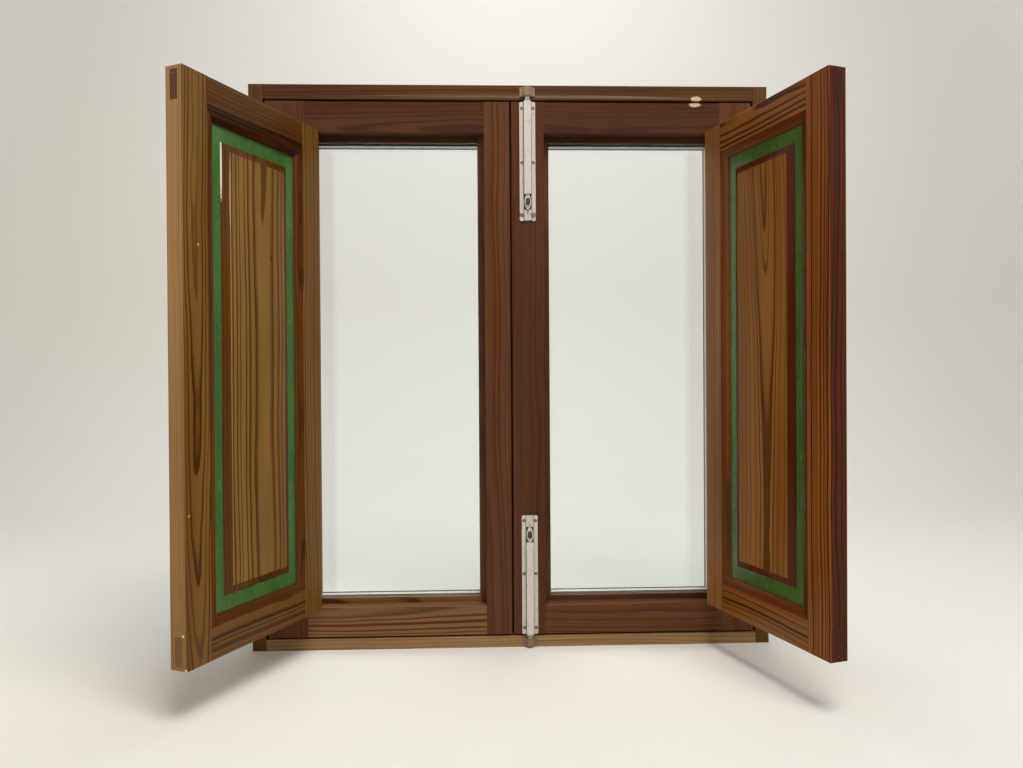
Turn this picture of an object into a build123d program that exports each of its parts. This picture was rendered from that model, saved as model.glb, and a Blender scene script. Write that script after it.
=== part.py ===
from build123d import *
import os
from math import cos, pi, sin

# A small two-sash window that opens into the room, with a panelled shutter let into each sash.
# X runs to the right and Y out of doors, both seen from the room, and Z runs up.
# Sizes are in millimetres. Depth is measured out of doors from the room face of frame and sashes.

# outer frame
frame_width = 880
frame_height = 955
frame_depth = 88
jamb_face = 24
head_face = 25
sill_face = 19
seam = 3
stop_lap = 12
stop_gap = 2
frame_tenon = 16
frame_tenon_margin = 4
frame_tenon_start = 20
frame_tenon_thickness = 30
fixing_radius = 4
fixing_pitch = 650
fixing_depth = 50
sill_fall = 4

# sashes: each face runs from the outer edge to the rebate that takes the shutter
sash_depth = 68
sash_top_face = 52.5
sash_bottom_face = 49.5
meeting_seam = 2.4
meeting_face_left = 45.5
meeting_face_right = 56.8
hinge_face_left = 67.5
rebate_depth = 25.5
seat_width = 9.7
seat_thickness = 11.5
sash_tenon = 30
sash_tenon_meeting = 18
sash_tenon_thickness = 14
sash_tenon_margin = 5
sash_tenon_overlap = 2
lap_thickness = 20
lap_gap = 2
tongue_reach = 12
swing_gap_front = 1.5
swing_gap_back = 8
arris = 1

# drip mould across the foot of each sash, out of doors
mould_lift = 4
mould_height = 34
mould_reach = 17
mould_nose = 9
mould_chamfer = 2
mould_end_gap = 4
mould_groove = 3

# double glazing
pane_thickness = 4
pane_space = 12
pane_edge_gap = 3
glazing_lap = 2
spacer_show = 1.5
spacer_inset = 2

# shutter leaves
leaf_thickness = 28.5
leaf_proud = 5
leaf_member = 45
leaf_gap_free = 2.5
leaf_gap_end = 2.2
leaf_open_left = 114
leaf_open_right = 107
sticking_width = 14.4
sticking_depth = 6.5
quirk = 1
panel_drop = 7.7
groove_depth = 10
panel_edge_gap = 1
green_width = 17
green_height = 21
bevel_width = 12.5
bevel_rise = 6
tenon_thickness = 12.5
tenon_haunch = 5

# butt hinges
hinge_height = 76
hinge_plate = 1.3
plate_reach = 20
pin_radius = 2.4
pin_play = 0.05
pin_cap_lip = 0.9
pin_cap_height = 1.6
knuckle_gap = 0.6
knuckle_clearance = 0.5
sash_knuckle_radius = 5
sash_pin_proud = 6
sash_hinge_inset = 130
leaf_knuckle_radius = 4.5
leaf_hinge_inset = 110
hinge_screw_pitch = 44
hinge_screw_reach = 12
pocket_extra = 3

# flush bolts on the right meeting stile
bolt_width = 27
bolt_plate = 2
bolt_end_margin = 0.5
bolt_corner = 3
housing_width = 12
housing_length = 157
housing_rise = 6.5
housing_wall = 1.6
rod_width = 7.6
rod_thickness = 4
rod_end_gap = 0.5
slide_gap = 0.3
window_length = 26
guide_thickness = 1.2
rail_width = 3.6
rail_length = 17
rail_rise = 2.6
rail_spread = 8
rail_foot = 2
grip_thickness = 1.8
grip_neck = 3.6
grip_end_gap = 0.5
grip_side_gap = 0.4
stem_width = 2.4
thumb_length = 12
thumb_width = 7.4
thumb_rise = 3
bolt_throw = 17
keeper_gap_top = 8.5
keeper_height_top = 16
keeper_gap_bottom = 7
keeper_height_bottom = 12
keeper_width = 26
keeper_plate = 1.6
keeper_corner = 2

# screws
screw_head_radius = 2.9
screw_radius = 1.6
screw_cone = 1.3
screw_length = 14
bolt_screw_inset_top = 11
bolt_screw_inset_middle = 103
bolt_screw_inset_end = 9

# places that follow from the sizes above
room_face = -frame_depth / 2
sash_edge = frame_width / 2 - jamb_face - seam
sash_low = sill_face + seam
sash_high = frame_height - head_face - seam
opening_width = sash_edge - hinge_face_left - meeting_face_left
opening_low = sash_low + sash_bottom_face
opening_high = sash_high - sash_top_face
glass_depth = rebate_depth + seat_thickness
bead_depth = glass_depth + 2 * pane_thickness + pane_space
leaf_height = opening_high - opening_low - 2 * leaf_gap_end
leaf_width = opening_width - seam - leaf_gap_free
leaf_low = opening_low + leaf_gap_end
bolt_middle = (meeting_seam / 2 + meeting_face_right) / 2
bolt_length = housing_length + window_length + rail_length + rail_foot


def y_at(depth):
    return room_face + depth


def upright(outline, low, high):
    """An outline in X and depth, drawn up along Z."""
    corners = [(x, y_at(depth)) for x, depth in outline]
    face = make_face(Polyline(*corners, close=True))
    return Pos(0, 0, low) * extrude(face, amount=high - low, dir=(0, 0, 1))


def level(outline, left, right):
    """An outline in depth and Z, drawn along X."""
    corners = [(0, y_at(depth), z) for depth, z in outline]
    face = make_face(Polyline(*corners, close=True))
    return Pos(left, 0, 0) * extrude(face, amount=right - left, dir=(1, 0, 0))


def block(x, depth, z):
    """A box from its two ends in X, depth and Z."""
    size = [abs(b - a) for a, b in (x, depth, z)]
    place = [(a + b) / 2 for a, b in (x, depth, z)]
    return Pos(place[0], y_at(place[1]), place[2]) * Box(*size)


def rod(radius, length, x, depth, z):
    """A round bar along Z, from its middle."""
    return Pos(x, y_at(depth), z) * Cylinder(radius, length)


def group(solids):
    return Compound(children=list(solids))


parts = {}


def keep(name, shape):
    parts[name] = shape


# Frame.


def frame_outline(outer, face, inward, fall=0):
    """Jamb or rail section: the face towards the sash, then the stop that the sash shuts against."""
    stop = face + inward * (seam + stop_lap)
    stop_depth = sash_depth + stop_gap
    return [
        (outer, 0),
        (face - inward * arris, 0),
        (face, arris),
        (face, stop_depth),
        (stop, stop_depth),
        (stop - inward * fall, frame_depth),
        (outer, frame_depth),
    ]


def turned(outline):
    return [(depth, place) for place, depth in outline]


def make_frame():
    outer = frame_width / 2
    jambs = {}
    for name, side in (("left", -1), ("right", 1)):
        face = side * (outer - jamb_face)
        jambs[name] = upright(frame_outline(side * outer, face, -side), 0, frame_height)
    rails = {
        "head": level(turned(frame_outline(frame_height, frame_height - head_face, -1)), -outer, outer),
        "sill": level(turned(frame_outline(0, sill_face, 1, sill_fall)), -outer, outer),
    }
    both = jambs["left"] + jambs["right"]
    spans = {"head": (frame_height - head_face, frame_height), "sill": (0, sill_face)}
    depth = (frame_tenon_start, frame_tenon_start + frame_tenon_thickness)
    for name, span in spans.items():
        rails[name] -= both
        for side in (-1, 1):
            shoulder = side * (outer - jamb_face)
            z = (span[0] + frame_tenon_margin, span[1] - frame_tenon_margin)
            tenon = block((shoulder, shoulder + side * frame_tenon), depth, z)
            rails[name] += tenon
            jamb = "left" if side < 0 else "right"
            jambs[jamb] -= tenon
    for name, side in (("left", -1), ("right", 1)):
        for step in (-1, 1):
            place = Pos(side * outer, y_at(fixing_depth), (frame_height + step * fixing_pitch) / 2)
            jambs[name] -= place * Rot(0, 90, 0) * Cylinder(fixing_radius, 3 * jamb_face)
        keep("frame_jamb_" + name, jambs[name])
    keep("frame_head", rails["head"])
    keep("frame_sill", rails["sill"])


# Sashes.


def sash_outline(outer, face, inward):
    """Outer edge, room face, rebate for the shutter, seat, then the glazing rebate behind it."""
    seat = face + inward * seat_width
    wall = face - inward * glazing_lap
    return [
        (outer, arris),
        (outer + inward * arris, 0),
        (face - inward * arris, 0),
        (face, arris),
        (face, rebate_depth),
        (seat - inward * arris, rebate_depth),
        (seat, rebate_depth + arris),
        (seat, glass_depth),
        (wall, glass_depth),
        (wall, sash_depth),
        (outer, sash_depth),
    ]


def left_meeting_outline():
    """The leaf that opens first: its lap covers the other sash's tongue on the room side."""
    edge = -meeting_seam / 2
    outline = sash_outline(edge, -meeting_face_left, -1)[:-1]
    back = -tongue_reach - swing_gap_back
    front = -tongue_reach - swing_gap_front
    return outline + [(back, sash_depth), (front, lap_thickness), (edge, lap_thickness)]


def right_meeting_outline():
    """The leaf that opens second: a tongue behind the first leaf's lap."""
    edge = meeting_seam / 2
    outline = sash_outline(edge, meeting_face_right, 1)[:-1]
    tongue = lap_thickness + lap_gap
    return outline + [(-tongue_reach, sash_depth), (-tongue_reach, tongue), (edge, tongue)]


def make_sash(name, side, meeting, face_inner):
    """face_inner is the X where the meeting stile's face ends; side is -1 for the left sash."""
    face_outer = face_inner + side * opening_width
    outline = sash_outline(side * sash_edge, face_outer, -side)
    hinge_stile = upright(outline, sash_low, sash_high)
    meeting_stile = upright(meeting, sash_low, sash_high)
    ends = sorted((face_outer + side * glazing_lap, face_inner - side * glazing_lap))
    rails = {
        "top_rail": level(turned(sash_outline(sash_high, opening_high, -1)), *ends),
        "bottom_rail": level(turned(sash_outline(sash_low, opening_low, 1)), *ends),
    }
    spans = {"top_rail": (opening_high, sash_high), "bottom_rail": (sash_low, opening_low)}
    tenon_start = rebate_depth - sash_tenon_overlap
    for rail, span in spans.items():
        rails[rail] -= hinge_stile + meeting_stile
        z = (span[0] + sash_tenon_margin, span[1] - sash_tenon_margin)
        depth = (tenon_start, tenon_start + sash_tenon_thickness)
        outer_tenon = block((face_outer, face_outer + side * sash_tenon), depth, z)
        inner_tenon = block((face_inner, face_inner - side * sash_tenon_meeting), depth, z)
        rails[rail] += outer_tenon + inner_tenon
        hinge_stile -= outer_tenon
        meeting_stile -= inner_tenon
        keep("sash_%s_%s" % (name, rail), rails[rail])
    keep("sash_%s_hinge_stile" % name, hinge_stile)
    keep("sash_%s_meeting_stile" % name, meeting_stile)
    make_glazing(name, *sorted((face_outer, face_inner)))
    make_drip_mould(name, side)


def make_glazing(name, left, right):
    """Two panes on a spacer, bedded on the seat from out of doors and held by four beads."""
    edge = pane_edge_gap - glazing_lap
    x = (left + edge, right - edge)
    z = (opening_low + edge, opening_high - edge)
    inner = (glass_depth, glass_depth + pane_thickness)
    outer = (bead_depth - pane_thickness, bead_depth)
    keep("sash_%s_glass" % name, group([block(x, depth, z) for depth in (inner, outer)]))

    sight = seat_width + spacer_show
    rim = edge + spacer_inset
    space = (inner[1], outer[0])
    ring = block((left + rim, right - rim), space, (opening_low + rim, opening_high - rim))
    ring -= block((left + sight, right - sight), space, (opening_low + sight, opening_high - sight))
    keep("sash_%s_spacer" % name, ring)

    wall = (left - glazing_lap, right + glazing_lap)
    depth = (bead_depth, sash_depth)
    beads = []
    for x_bead in ((wall[0], left + seat_width), (right - seat_width, wall[1])):
        beads.append(block(x_bead, depth, (opening_low - glazing_lap, opening_high + glazing_lap)))
    between = (left + seat_width, right - seat_width)
    for z_bead in (
        (opening_low - glazing_lap, opening_low + seat_width),
        (opening_high - seat_width, opening_high + glazing_lap),
    ):
        beads.append(block(between, depth, z_bead))
    keep("sash_%s_beads" % name, group(beads))


def make_drip_mould(name, side):
    """A rail with a sloping top, a blunt nose and a groove below that sheds the water."""
    low = sill_face + seam + stop_lap + mould_lift
    top = low + mould_height
    nose = sash_depth + mould_reach
    groove = nose - 2 * mould_groove
    outline = [
        (sash_depth, low),
        (groove, low),
        (groove, low + mould_groove),
        (groove + mould_groove, low + mould_groove),
        (groove + mould_groove, low),
        (nose, low),
        (nose, low + mould_nose),
        (nose - mould_chamfer, low + mould_nose + mould_chamfer),
        (sash_depth + mould_chamfer, top),
        (sash_depth, top),
    ]
    outer = side * (sash_edge - stop_lap - mould_end_gap)
    inner = side * (tongue_reach + swing_gap_back + mould_end_gap)
    keep("sash_%s_drip_mould" % name, level(outline, *sorted((outer, inner))))


# Shutter leaves, each built shut with its hinge edge at X = 0, and hung afterwards.


def sticking(face, inward, side):
    """Points of the moulded edge from the face down to the panel: a quirk and a quarter ellipse."""
    steps = 5
    drop = sticking_depth - quirk
    points = [(face, 0)]
    for step in range(steps + 1):
        turn = pi / 2 * step / steps
        points.append((face + inward * sticking_width * sin(turn), quirk + drop * (1 - cos(turn))))
    return [(place, depth if side < 0 else leaf_thickness - depth) for place, depth in points]


def leaf_outline(outer, inward):
    face = outer + inward * leaf_member
    front = sticking(face, inward, -1)
    back = sticking(face, inward, 1)[::-1]
    rounded = [
        (outer, leaf_thickness - arris),
        (outer, arris),
        (outer + inward * arris, 0),
    ]
    return rounded + front + back + [(outer + inward * arris, leaf_thickness)]


def leaf_block(x, depth, z):
    size = [abs(b - a) for a, b in (x, depth, z)]
    place = [(a + b) / 2 for a, b in (x, depth, z)]
    return Pos(*place) * Box(*size)


def leaf_upright(outline):
    face = make_face(Polyline(*outline, close=True))
    return extrude(face, amount=leaf_height, dir=(0, 0, 1))


def leaf_level(outline):
    corners = [(leaf_member, depth, z) for z, depth in outline]
    face = make_face(Polyline(*corners, close=True))
    return extrude(face, amount=leaf_width - 2 * leaf_member, dir=(1, 0, 0))


def make_panel(rim):
    """A board raised on both sides: flat margin, sloping bevel and flat field."""
    low, high = panel_drop, leaf_thickness - panel_drop
    gap = panel_edge_gap
    panel = leaf_block((rim + gap, leaf_width - rim - gap), (low, high), (rim + gap, leaf_height - rim - gap))
    inner = leaf_member + sticking_width
    width = leaf_width - 2 * (inner + green_width)
    height = leaf_height - 2 * (inner + green_height)
    middle = (leaf_width / 2, leaf_height / 2)
    for start, rise in ((low, -bevel_rise), (high, bevel_rise)):
        foot = Plane(origin=(middle[0], start, middle[1]), x_dir=(1, 0, 0), z_dir=(0, -1, 0))
        top = Plane(origin=(middle[0], start + rise, middle[1]), x_dir=(1, 0, 0), z_dir=(0, -1, 0))
        slope = 2 * bevel_width
        field = loft([foot * Rectangle(width, height), top * Rectangle(width - slope, height - slope)])
        panel += field
    return panel


def make_leaf():
    """Stiles through, rails between them with through tenons, panel in the groove."""
    inner = leaf_member + sticking_width
    rim = inner - groove_depth
    hinge_stile = leaf_upright(leaf_outline(0, 1))
    free_stile = leaf_upright(leaf_outline(leaf_width, -1))
    bottom_rail = leaf_level(leaf_outline(0, 1)) - hinge_stile - free_stile
    top_rail = leaf_level(leaf_outline(leaf_height, -1)) - hinge_stile - free_stile
    middle = leaf_thickness / 2
    depth = (middle - tenon_thickness / 2, middle + tenon_thickness / 2)
    spans = ((0, inner), (leaf_width - inner, leaf_width))
    for z in ((tenon_haunch, leaf_member), (leaf_height - leaf_member, leaf_height - tenon_haunch)):
        left, right = [leaf_block(x, depth, z) for x in spans]
        hinge_stile -= left
        free_stile -= right
        if z[0] < leaf_member:
            bottom_rail += left + right
        else:
            top_rail += left + right
    groove_span = (panel_drop, leaf_thickness - panel_drop)
    groove = leaf_block((rim, leaf_width - rim), groove_span, (rim, leaf_height - rim))
    pieces = {
        "hinge_stile": hinge_stile,
        "free_stile": free_stile,
        "top_rail": top_rail,
        "bottom_rail": bottom_rail,
    }
    pieces = {name: piece - groove for name, piece in pieces.items()}
    pieces["panel"] = make_panel(rim)
    return pieces


# Butt hinges: plates in the seam, three knuckles and a pin on the room side.


def screw_shape(place, along):
    """A countersunk screw: its head's flat lies at place, its shank runs along the given direction."""
    head = Pos(0, 0, screw_cone / 2) * Cone(screw_head_radius, screw_radius, screw_cone)
    shank = Pos(0, 0, (screw_cone + screw_length) / 2) * Cylinder(screw_radius, screw_length - screw_cone)
    screw = head + shank
    return Plane(origin=place, z_dir=along) * screw


def make_hinge(x_pin, depth_pin, z_middle, radius, side):
    """side is where the moving plate lies from the pin. Returns fixed plate, moving plate, pin, screws."""
    start = radius + knuckle_clearance
    near = seam / 2 - hinge_plate
    far = seam / 2
    knuckle = hinge_height / 3
    low, high = z_middle - hinge_height / 2, z_middle + hinge_height / 2
    bore = rod(pin_radius, hinge_height * 2, x_pin, depth_pin, z_middle)
    loose_bore = rod(pin_radius + pin_play, hinge_height * 2, x_pin, depth_pin, z_middle)
    plates, screws = [], []
    for which in (-side, side):
        x = (x_pin + which * near, x_pin + which * far)
        plate = block(x, (depth_pin + start, depth_pin + start + plate_reach), (low, high))
        heights = [z_middle] if which == side else [low + knuckle / 2, high - knuckle / 2]
        for z in heights:
            length = knuckle - (knuckle_gap if which == side else 0)
            plate += rod(radius, length, x_pin, depth_pin, z)
            plate += block(x, (depth_pin, depth_pin + start), (z - length / 2, z + length / 2))
        plate -= loose_bore if which == side else bore
        own = []
        for step in (-1, 1):
            z = z_middle + step * hinge_screw_pitch / 2
            place = (x_pin + which * near, y_at(depth_pin + start + hinge_screw_reach), z)
            own.append(screw_shape(place, (which, 0, 0)))
        for screw in own:
            plate -= screw
        plates.append(plate)
        screws.append(own)
    pin = rod(pin_radius, hinge_height, x_pin, depth_pin, z_middle)
    for end in (-1, 1):
        z_cap = z_middle + end * (hinge_height + pin_cap_height) / 2
        pin += rod(pin_radius + pin_cap_lip, pin_cap_height, x_pin, depth_pin, z_cap)
    return plates, pin, screws


def hang(shape, x_pin, depth_pin, angle, side):
    """Turns a piece built shut about the pin; the left leaf swings clockwise seen from above."""
    pin = Pos(x_pin, y_at(depth_pin), 0)
    return pin * Rot(0, 0, side * angle) * pin.inverse() * shape


def cut_all(name, tools):
    for tool in tools:
        parts[name] = parts[name] - tool


def make_leaf_hinges(name, side, x_wall, angle, pieces):
    """x_wall is the rebate wall that the hinges are fixed to; side is -1 for the left leaf."""
    x_pin = x_wall - side * seam / 2
    depth_pin = -leaf_proud
    fixed_plates, moving_plates, pins, fixed_screws, moving_screws = [], [], [], [], []
    pocket_radius = leaf_knuckle_radius + knuckle_clearance
    for z in (leaf_low + leaf_hinge_inset, leaf_low + leaf_height - leaf_hinge_inset):
        plates, pin, screws = make_hinge(x_pin, depth_pin, z, leaf_knuckle_radius, -side)
        pocket = rod(pocket_radius, hinge_height + 2 * pocket_extra, x_pin, depth_pin, z)
        pieces["hinge_stile"] -= pocket
        fixed_plates.append(plates[0])
        moving_plates.append(plates[1])
        pins.append(pin)
        fixed_screws += screws[0]
        moving_screws += screws[1]
    for screw in moving_screws:
        pieces["hinge_stile"] -= screw
    cut_all("sash_%s_hinge_stile" % name, fixed_screws)
    keep("sash_%s_shutter_hinge_plates" % name, group(fixed_plates))
    keep("sash_%s_shutter_hinge_pins" % name, group(pins))
    moving = {
        "hinge_plates": group(moving_plates),
        "hinge_screws": group(moving_screws),
        **pieces,
    }
    for part, shape in moving.items():
        keep("shutter_%s_%s" % (name, part), hang(shape, x_pin, depth_pin, angle, side))
    return fixed_screws


def make_shutters():
    leaf = make_leaf()
    sides = (
        ("left", -1, -meeting_face_left, leaf_open_left),
        ("right", 1, meeting_face_right, leaf_open_right),
    )
    screws = {}
    for name, side, face_inner, angle in sides:
        x_wall = face_inner + side * opening_width
        x_edge = x_wall - side * seam
        pieces = {}
        for part, shape in leaf.items():
            shut = shape if side < 0 else mirror(shape, about=Plane.YZ)
            pieces[part] = Pos(x_edge, y_at(-leaf_proud), leaf_low) * shut
        screws[name] = make_leaf_hinges(name, side, x_wall, angle, pieces)
    return screws


def make_sash_hinges(leaf_screws):
    frame_screws = []
    for name, side in (("left", -1), ("right", 1)):
        x_pin = side * (sash_edge + seam / 2)
        fixed, moving, pins = [], [], []
        sash_screws = list(leaf_screws[name])
        for z in (sash_low + sash_hinge_inset, sash_high - sash_hinge_inset):
            plates, pin, screws = make_hinge(x_pin, -sash_pin_proud, z, sash_knuckle_radius, -side)
            fixed.append(plates[0])
            moving.append(plates[1])
            pins.append(pin)
            cut_all("frame_jamb_" + name, screws[0])
            cut_all("sash_%s_hinge_stile" % name, screws[1])
            frame_screws += screws[0]
            sash_screws += screws[1]
        keep("frame_hinge_plates_" + name, group(fixed))
        keep("frame_hinge_pins_" + name, group(pins))
        keep("sash_%s_hinge_plates" % name, group(moving))
        keep("sash_%s_hinge_screws" % name, group(sash_screws))
    keep("frame_hinge_screws", group(frame_screws))


# Bolts, built as the top one with the sash's edge at Z = 0, then set up or down.


def strip(width, depth, z):
    return block((-width / 2, width / 2), depth, z)


def bolt_outline(width, length, thickness, radius, depth, z):
    """A plate with rounded corners, lying on the face of the wood."""
    plane = Plane(origin=(0, y_at(depth), z), x_dir=(1, 0, 0), z_dir=(0, -1, 0))
    return extrude(plane * RectangleRounded(width, length, radius), amount=thickness)


def make_bolt(keeper_gap, keeper_height):
    top = -bolt_end_margin
    foot = top - bolt_length
    window_high = top - housing_length
    window_low = window_high - window_length
    room = -bolt_plate
    plate = bolt_outline(bolt_width, bolt_length, bolt_plate, bolt_corner, 0, (top + foot) / 2)
    housing = strip(housing_width, (room - housing_rise, room), (window_high, top))
    cavity_width = rod_width + 2 * slide_gap
    cavity = (room - rod_thickness - 2 * slide_gap, room)
    housing -= strip(cavity_width, cavity, (window_high, top))
    plate += housing
    for side in (-1, 1):
        x = side * (rail_spread / 2)
        z = (foot + rail_foot, foot + rail_foot + rail_length)
        plate += block((x - rail_width / 2, x + rail_width / 2), (room - rail_rise, room), z)

    guide_recess = strip(housing_width, (room, 0), (window_low, window_high))
    plate -= guide_recess
    guide = strip(housing_width, (room + guide_thickness, 0), (window_low, window_high))

    rod_front = room - slide_gap - rod_thickness
    tip = bolt_throw
    bar = strip(rod_width, (rod_front, room - slide_gap), (window_high + rod_end_gap, tip))
    grip_back = room - rail_rise - slide_gap
    grip_front = grip_back - grip_thickness
    middle = (window_low + window_high) / 2
    half = window_length / 2 - grip_end_gap
    waist = housing_width / 2 - grip_side_gap
    neck = grip_neck / 2
    grip_plane = Plane(origin=(0, y_at(grip_back), middle), x_dir=(1, 0, 0), z_dir=(0, -1, 0))
    edge_right = ThreePointArc((neck, -half), (waist, 0), (neck, half))
    edge_left = ThreePointArc((-neck, half), (-waist, 0), (-neck, -half))
    end_high = Line((neck, half), (-neck, half))
    end_low = Line((-neck, -half), (neck, -half))
    oval = make_face(Curve() + [edge_right, end_high, edge_left, end_low])
    grip = extrude(grip_plane * oval, amount=grip_thickness)
    stem = strip(stem_width, (grip_back, room - slide_gap), (middle, window_high + rod_end_gap))
    bar += stem
    knob_plane = Plane(origin=(0, y_at(grip_front), middle), x_dir=(1, 0, 0), z_dir=(0, -1, 0))
    knob = extrude(knob_plane * SlotOverall(thumb_length, thumb_width, rotation=90), amount=thumb_rise)

    low = keeper_gap
    z_keeper = low + keeper_height / 2
    keeper = bolt_outline(keeper_width, keeper_height, keeper_plate, keeper_corner, 0, z_keeper)
    loop_front = room - slide_gap * 2 - rod_thickness - housing_wall
    keeper += strip(housing_width, (loop_front, 0), (low, low + keeper_height))
    keeper -= strip(cavity_width, (room - rod_thickness - 2 * slide_gap, room), (low, low + keeper_height))

    screws = []
    for inset in (bolt_screw_inset_top, bolt_screw_inset_middle, bolt_length - bolt_screw_inset_end):
        for side in (-1, 1):
            x = side * (bolt_width + housing_width) / 4
            screws.append(screw_shape((x, y_at(room), top - inset), (0, 1, 0)))
    for side in (-1, 1):
        x = side * (keeper_width + housing_width) / 4
        screws.append(screw_shape((x, y_at(-keeper_plate), z_keeper), (0, 1, 0)))
    for screw in screws[:-2]:
        plate -= screw
    for screw in screws[-2:]:
        keeper -= screw
    pieces = {"plate": plate, "guide": guide, "rod": bar, "grip": grip, "thumb": knob, "keeper": keeper}
    return pieces, screws


def make_bolts():
    all_screws = []
    ends = (
        ("top", sash_high, 1, keeper_gap_top, keeper_height_top),
        ("bottom", sash_low, -1, keeper_gap_bottom, keeper_height_bottom),
    )
    for name, edge, up, gap, height in ends:
        pieces, screws = make_bolt(gap, height)
        place = Pos(bolt_middle, 0, edge)
        for part, shape in pieces.items():
            shape = shape if up > 0 else mirror(shape, about=Plane.XY)
            keep("bolt_%s_%s" % (name, part), place * shape)
        own = [place * (s if up > 0 else mirror(s, about=Plane.XY)) for s in screws]
        cut_all("sash_right_meeting_stile", own[:-2])
        cut_all("frame_head" if up > 0 else "frame_sill", own[-2:])
        all_screws += own
    keep("bolt_screws", group(all_screws))


make_frame()
make_sash("left", -1, left_meeting_outline(), -meeting_face_left)
make_sash("right", 1, right_meeting_outline(), meeting_face_right)
shutter_screws = make_shutters()
make_sash_hinges(shutter_screws)
make_bolts()

os.makedirs("parts", exist_ok=True)
for name, shape in parts.items():
    export_step(shape, "parts/%s.step" % name)
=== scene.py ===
from math import cos, pi, radians, sin

import bmesh
import bpy
import numpy as np
from mathutils import Matrix, Vector


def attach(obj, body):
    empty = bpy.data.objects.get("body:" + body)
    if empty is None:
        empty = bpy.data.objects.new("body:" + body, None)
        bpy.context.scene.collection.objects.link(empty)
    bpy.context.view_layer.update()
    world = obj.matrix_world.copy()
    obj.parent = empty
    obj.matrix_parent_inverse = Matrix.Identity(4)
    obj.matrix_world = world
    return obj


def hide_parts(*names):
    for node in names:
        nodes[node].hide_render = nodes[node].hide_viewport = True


# a casement window with panelled shutters in its sashes: the leaves' boards and panels are made here,
# and every other piece keeps its CAD shape and gets its own finish
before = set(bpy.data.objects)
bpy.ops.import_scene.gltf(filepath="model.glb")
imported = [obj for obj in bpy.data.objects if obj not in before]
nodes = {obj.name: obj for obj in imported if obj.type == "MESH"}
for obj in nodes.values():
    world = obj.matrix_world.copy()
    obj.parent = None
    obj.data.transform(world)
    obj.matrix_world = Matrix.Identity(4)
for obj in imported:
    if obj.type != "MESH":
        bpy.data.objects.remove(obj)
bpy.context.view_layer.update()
print("frame loaded:", len(nodes), "pieces")


def link(tree, source, socket):
    # joins a socket to another, or sets a plain value on it; None leaves it as it is
    if isinstance(source, bpy.types.NodeSocket):
        tree.links.new(source, socket)
    elif source is not None:
        socket.default_value = source


def maths(tree, operation, first, second=None, third=None, clamp=False):
    node = tree.nodes.new("ShaderNodeMath")
    node.operation = operation
    node.use_clamp = clamp
    for socket, value in zip(node.inputs, (first, second, third)):
        link(tree, value, socket)
    return node.outputs[0]


def times(tree, first, second, clamp=False):
    return maths(tree, "MULTIPLY", first, second, clamp=clamp)


def plus(tree, first, second):
    return maths(tree, "ADD", first, second)


def minus(tree, first, second):
    return maths(tree, "SUBTRACT", first, second)


def span(tree, value, low, high, outLow=0.0, outHigh=1.0, smooth=True):
    # maps low..high on to outLow..outHigh, held at both ends
    node = tree.nodes.new("ShaderNodeMapRange")
    node.interpolation_type = "SMOOTHSTEP" if smooth else "LINEAR"
    for socket, given in zip(node.inputs, (value, low, high, outLow, outHigh)):
        link(tree, given, socket)
    return node.outputs[0]


def vectorMaths(tree, operation, first, second=None):
    node = tree.nodes.new("ShaderNodeVectorMath")
    node.operation = operation
    link(tree, first, node.inputs[0])
    link(tree, second, node.inputs[1])
    return node.outputs["Value"] if operation in ("LENGTH", "DISTANCE") else node.outputs[0]


def mapping(tree, vector, kind="POINT", location=(0, 0, 0), rotation=(0, 0, 0), scale=(1, 1, 1)):
    node = tree.nodes.new("ShaderNodeMapping")
    node.vector_type = kind
    link(tree, vector, node.inputs["Vector"])
    for name, value in (("Location", location), ("Rotation", rotation), ("Scale", scale)):
        node.inputs[name].default_value = value
    return node.outputs[0]


def noise(tree, vector, scale=1.0, detail=2.0, rough=0.5):
    node = tree.nodes.new("ShaderNodeTexNoise")
    link(tree, vector, node.inputs["Vector"])
    node.inputs["Scale"].default_value = scale
    node.inputs["Detail"].default_value = detail
    node.inputs["Roughness"].default_value = rough
    return node


def lineNoise(tree, place, detail, rough=0.5):
    # noise along one line, at the given place
    node = noise(tree, None, 1.0, detail, rough)
    node.noise_dimensions = "1D"
    link(tree, place, node.inputs["W"])
    return node


def mixColour(tree, factor, first, second, blend="MIX"):
    node = tree.nodes.new("ShaderNodeMix")
    node.data_type = "RGBA"
    node.blend_type = blend
    link(tree, factor, node.inputs[0])
    link(tree, first, node.inputs[6])
    link(tree, second, node.inputs[7])
    return node.outputs[2]


def split(tree, vector):
    node = tree.nodes.new("ShaderNodeSeparateXYZ")
    link(tree, vector, node.inputs[0])
    return node.outputs


def join(tree, x, y, z):
    node = tree.nodes.new("ShaderNodeCombineXYZ")
    for socket, value in zip(node.inputs, (x, y, z)):
        link(tree, value, socket)
    return node.outputs[0]


def startGroup(name, inputs, outputs):
    # a node group with named sockets: its tree, what goes in and what comes out
    tree = bpy.data.node_groups.new(name, "ShaderNodeTree")
    for label, kind, value in inputs:
        socket = tree.interface.new_socket(name=label, in_out="INPUT", socket_type=kind)
        if value is not None:
            socket.default_value = value
    for label, kind in outputs:
        tree.interface.new_socket(name=label, in_out="OUTPUT", socket_type=kind)
    return tree, tree.nodes.new("NodeGroupInput").outputs, tree.nodes.new("NodeGroupOutput").inputs


def useGroup(tree, group, **values):
    node = tree.nodes.new("ShaderNodeGroup")
    node.node_tree = group
    for label, value in values.items():
        link(tree, value, node.inputs[label])
    return node.outputs


def sRgb(red, green, blue):
    # the colour that shows as these 0..255 values, in linear light
    shown = np.array([red, green, blue]) / 255.0
    lin = np.where(shown <= 0.04045, shown / 12.92, ((shown + 0.055) / 1.055) ** 2.4)
    return (float(lin[0]), float(lin[1]), float(lin[2]), 1.0)


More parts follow.
